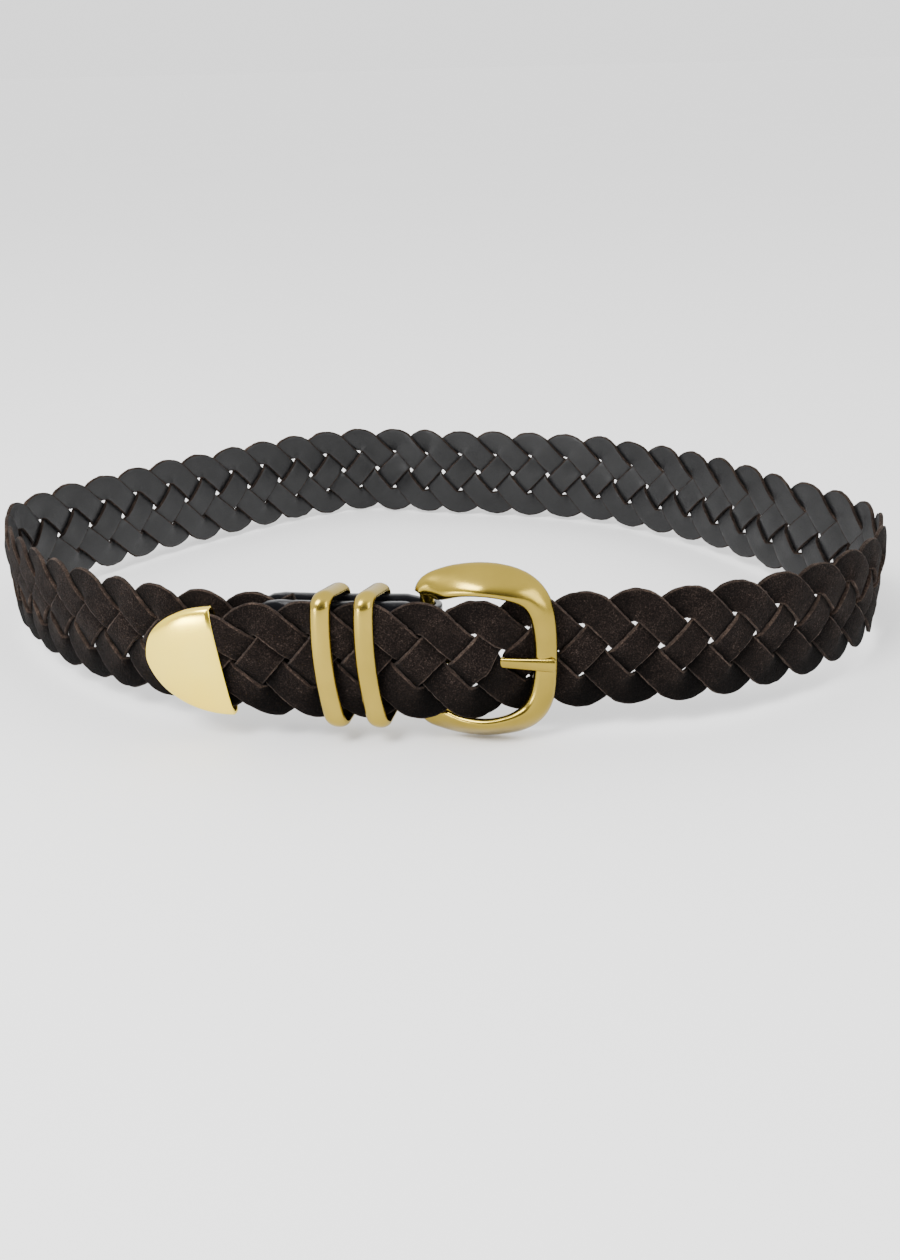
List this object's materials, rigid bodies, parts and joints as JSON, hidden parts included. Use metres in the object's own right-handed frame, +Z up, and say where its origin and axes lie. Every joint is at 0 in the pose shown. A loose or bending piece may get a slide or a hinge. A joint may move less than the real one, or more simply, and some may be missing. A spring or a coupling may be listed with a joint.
{
  "type": "braided belt",
  "caption": "Braided leather strap fastened in a loop by a rounded brass buckle, with brass keepers and a brass cap on the free end.",
  "frame": {"origin": "bottom centre of the bounding box, on the surface that the belt rests on", "axes": "+Z up, -Y towards the buckle's front, +X to the right of a viewer who faces the buckle"},
  "size_m": [0.3154, 0.2462, 0.0549],
  "materials": {
    "braid_leather": "dark brown suede outside, smooth dark leather inside",
    "tab_leather": "smooth black leather with a soft gloss",
    "brass": "satin cast brass"
  },
  "bodies": {
    "root": {"braid_strip_1": "braid_leather", "braid_strip_2": "braid_leather", "braid_strip_3": "braid_leather", "braid_strip_4": "braid_leather", "buckle_tab": "tab_leather", "buckle_frame": "brass", "buckle_prong": "brass", "keeper_1": "brass", "keeper_2": "brass", "end_cap": "brass"}
  },
  "joints": []
}
